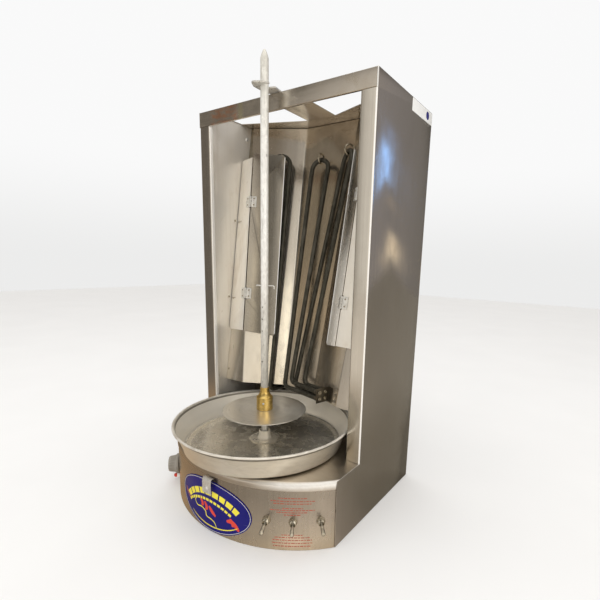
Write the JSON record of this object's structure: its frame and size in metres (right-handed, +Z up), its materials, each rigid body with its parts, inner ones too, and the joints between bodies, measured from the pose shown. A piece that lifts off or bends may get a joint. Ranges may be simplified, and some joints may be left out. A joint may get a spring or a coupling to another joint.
{
  "type": "vertical rotisserie broiler",
  "caption": "Countertop vertical rotisserie broiler: bowed control base with a drip pan and brass-footed skewer in front of a tall column holding hairpin heaters and folding reflector wings.",
  "frame": {"origin": "on the spit axis at the underside of the cabinet floor", "axes": "+Z up along the spit, -Y towards the operator at the bowed front, +X to the operator's right"},
  "size_m": [0.4653, 0.5269, 0.9223],
  "materials": {
    "stainless": "brushed stainless sheet, warm grey",
    "polished": "bright polished stainless reflector sheet",
    "galvanised": "bright zinc-plated steel",
    "aluminium": "satin spun aluminium",
    "brass": "turned brass",
    "nickel": "nickel plated",
    "sheath": "oxidised heater sheath, dark olive",
    "zinc": "bright plated steel bar",
    "cast": "grey painted casting",
    "grey_plastic": "grey moulded plastic",
    "black_plastic": "black moulded plastic",
    "rubber": "black cord jacket",
    "badge": "deep blue printed plate, no lettering"
  },
  "bodies": {
    "cabinet": {"side_panel_left": "stainless", "side_panel_right": "stainless", "front_panel": "stainless", "base_deck": "stainless", "base_floor": "galvanised", "rear_cover": "stainless", "top_frame": "stainless", "column_liner_left": "stainless", "column_liner_right": "stainless", "reflector": "polished", "flap_strip_left": "stainless", "flap_strip_right": "stainless", "deck_bushing": "brass", "keeper_screw": "zinc", "motor_bracket": "galvanised", "gearbox_housing": "cast", "motor_housing": "cast", "terminal_bracket": "galvanised", "control_body": "black_plastic", "badge_plate": "badge", "front_clip": "galvanised", "cord_grip": "black_plastic", "power_cord": "rubber", "heating_element_left": "sheath", "element_hanger_left": "zinc", "heating_element_centre": "sheath", "element_hanger_centre": "zinc", "heating_element_right": "sheath", "element_hanger_right": "zinc", "hinge_left_lower_leaf_fixed": "galvanised", "hinge_left_lower_pin": "galvanised", "hinge_left_upper_leaf_fixed": "galvanised", "hinge_left_upper_pin": "galvanised", "hinge_right_lower_leaf_fixed": "galvanised", "hinge_right_lower_pin": "galvanised", "hinge_right_upper_leaf_fixed": "galvanised", "hinge_right_upper_pin": "galvanised", "toggle_1_body": "nickel", "toggle_1_nut": "nickel", "toggle_2_body": "nickel", "toggle_2_nut": "nickel", "toggle_3_body": "nickel", "toggle_3_nut": "nickel"},
    "spit": {"drive_shaft": "zinc", "meat_disc": "aluminium", "skewer_coupling": "brass"},
    "skewer_bar": {"skewer": "zinc", "skewer_pin": "zinc"},
    "keeper": {"skewer_keeper": "zinc"},
    "wing_left": {"flap_left": "polished", "hinge_left_lower_leaf_moving": "galvanised", "hinge_left_upper_leaf_moving": "galvanised"},
    "wing_right": {"flap_right": "polished", "hinge_right_lower_leaf_moving": "galvanised", "hinge_right_upper_leaf_moving": "galvanised"},
    "pan": {"drip_pan": "aluminium"},
    "lever_1": {"toggle_1_lever": "nickel"},
    "lever_2": {"toggle_2_lever": "nickel"},
    "lever_3": {"toggle_3_lever": "nickel"},
    "knob": {"control_knob": "grey_plastic"}
  },
  "joints": [
    {"name": "spit_spin", "type": "hinge", "parent": "cabinet", "child": "spit", "pos_m": [0, 0, 0.2], "axis": [0, 0, 1], "continuous": true},
    {"name": "skewer_lift", "type": "slide", "parent": "spit", "child": "skewer_bar", "axis": [0, 0, 1], "range_m": [0, 0.045]},
    {"name": "keeper_swing", "type": "hinge", "parent": "cabinet", "child": "keeper", "pos_m": [0, 0.046, 0.8589], "axis": [0, 0, 1], "range_deg": [-75, 0]},
    {"name": "wing_left_swing", "type": "hinge", "parent": "cabinet", "child": "wing_left", "pos_m": [-0.136, 0.068, 0.361], "axis": [0.0442, -0.1331, -0.9901], "range_deg": [0, 95]},
    {"name": "wing_right_swing", "type": "hinge", "parent": "cabinet", "child": "wing_right", "pos_m": [0.136, 0.068, 0.361], "axis": [0.0442, 0.1331, 0.9901], "range_deg": [0, 95]},
    {"name": "pan_lift", "type": "slide", "parent": "cabinet", "child": "pan", "axis": [0, 0, 1], "range_m": [0, 0.012]},
    {"name": "toggle_1_flip", "type": "hinge", "parent": "cabinet", "child": "lever_1", "pos_m": [0.12807, -0.13499, 0.0595], "axis": [-0.9056, -0.4242, 0], "range_deg": [0, 26]},
    {"name": "toggle_2_flip", "type": "hinge", "parent": "cabinet", "child": "lever_2", "pos_m": [0.17252, -0.10935, 0.0595], "axis": [-0.8207, -0.5714, 0], "range_deg": [0, 26]},
    {"name": "toggle_3_flip", "type": "hinge", "parent": "cabinet", "child": "lever_3", "pos_m": [0.213, -0.07556, 0.0595], "axis": [-0.7087, -0.7055, 0], "range_deg": [0, 26]},
    {"name": "knob_turn", "type": "hinge", "parent": "cabinet", "child": "knob", "pos_m": [-0.20328, -0.0758, 0.045], "axis": [-0.6884, -0.7254, 0], "range_deg": [-270, 0]}
  ]
}
